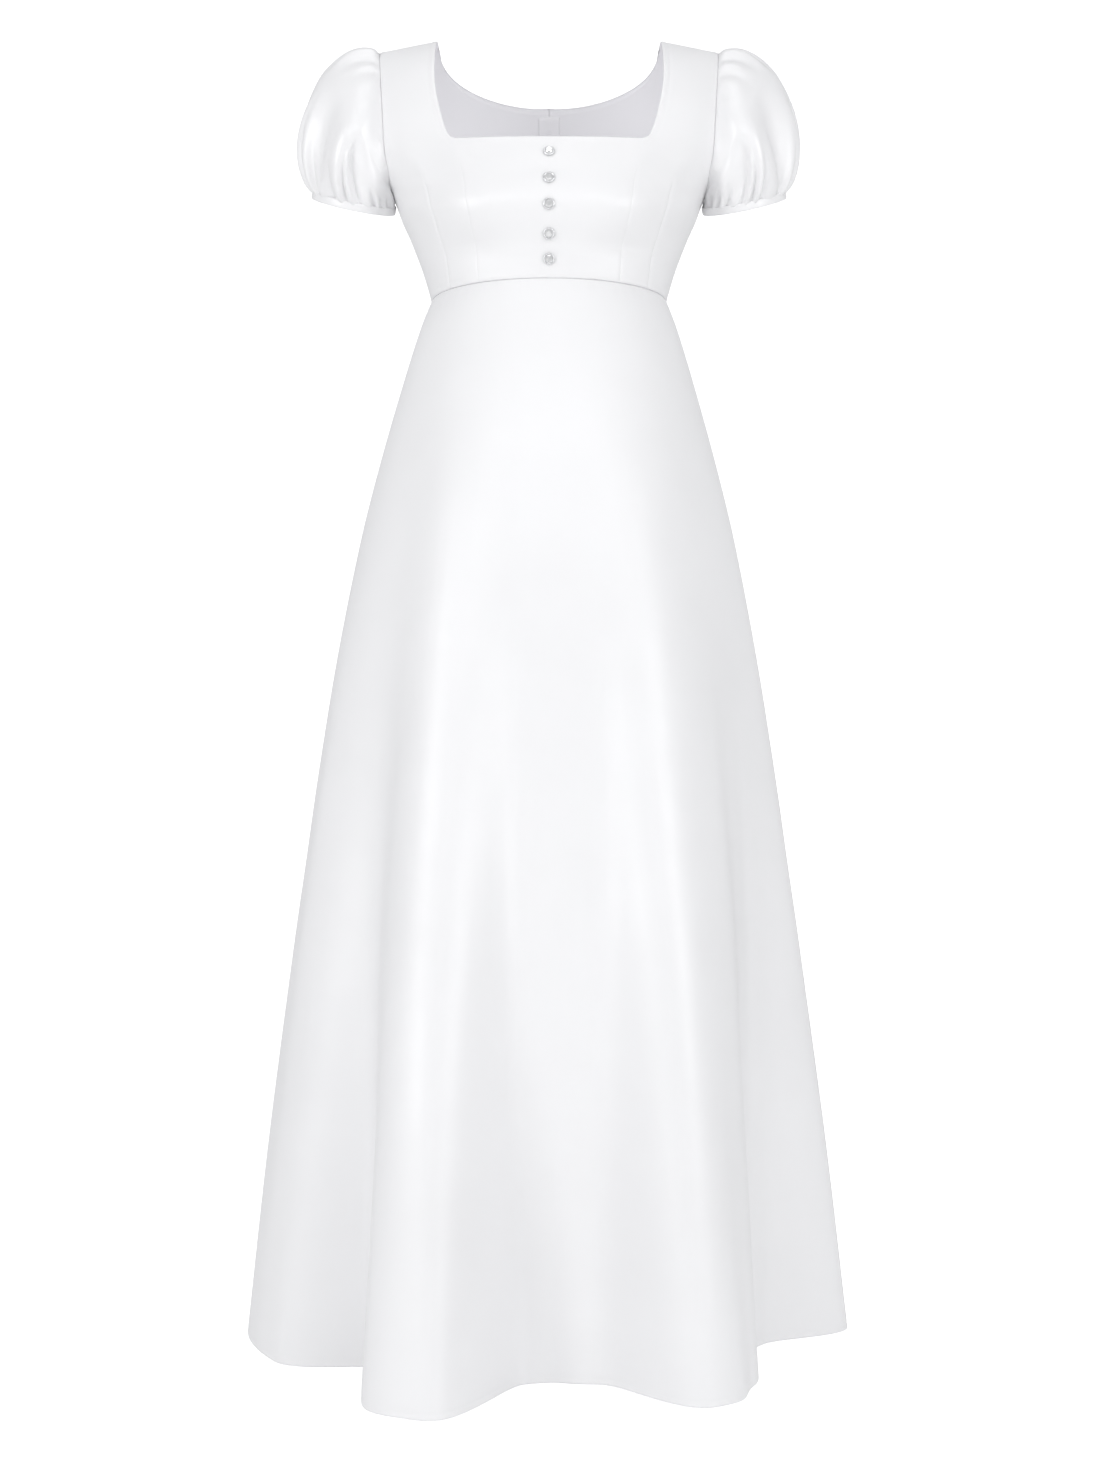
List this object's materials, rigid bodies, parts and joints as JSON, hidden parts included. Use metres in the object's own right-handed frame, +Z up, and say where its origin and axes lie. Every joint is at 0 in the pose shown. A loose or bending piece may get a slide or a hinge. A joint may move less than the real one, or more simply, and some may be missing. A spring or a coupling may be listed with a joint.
{
  "type": "empire-line evening gown",
  "caption": "Floor-length Empire-line gown in heavy white satin, with a square neck, short gathered puff sleeves, cut-glass buttons and a flared, fluted skirt.",
  "frame": {"origin": "midway between the shoulders, level with the middle of the shoulder straps, in the plane of the shoulder seams", "axes": "+Z up, from the hem to the shoulders; the front of the gown faces -Y; +X is the right of the front view, the wearer's left"},
  "size_m": [0.662, 0.6432, 1.4129],
  "materials": {
    "satin": "heavy satin, soft sheen",
    "cut_glass": "faceted, silver-backed",
    "zip_tape": "matt woven tape",
    "zip_metal": "white enamel"
  },
  "bodies": {
    "dress": {"bodice_front": "satin", "bodice_back_right": "satin", "bodice_back_left": "satin", "skirt_front": "satin", "skirt_back_right": "satin", "skirt_back_left": "satin", "sleeve_right": "satin", "sleeve_left": "satin", "cuff_right": "satin", "cuff_left": "satin", "button_1": "cut_glass", "button_2": "cut_glass", "button_3": "cut_glass", "button_4": "cut_glass", "button_5": "cut_glass", "zip_tape": "zip_tape", "zip_slider": "zip_metal"},
    "zip_pull": {"zip_pull": "zip_metal"}
  },
  "joints": [
    {"name": "zip_pull_swing", "type": "hinge", "parent": "dress", "child": "zip_pull", "pos_m": [0, 0.11305, -0.05922], "axis": [1, 0, 0], "range_deg": [0, 170]}
  ]
}
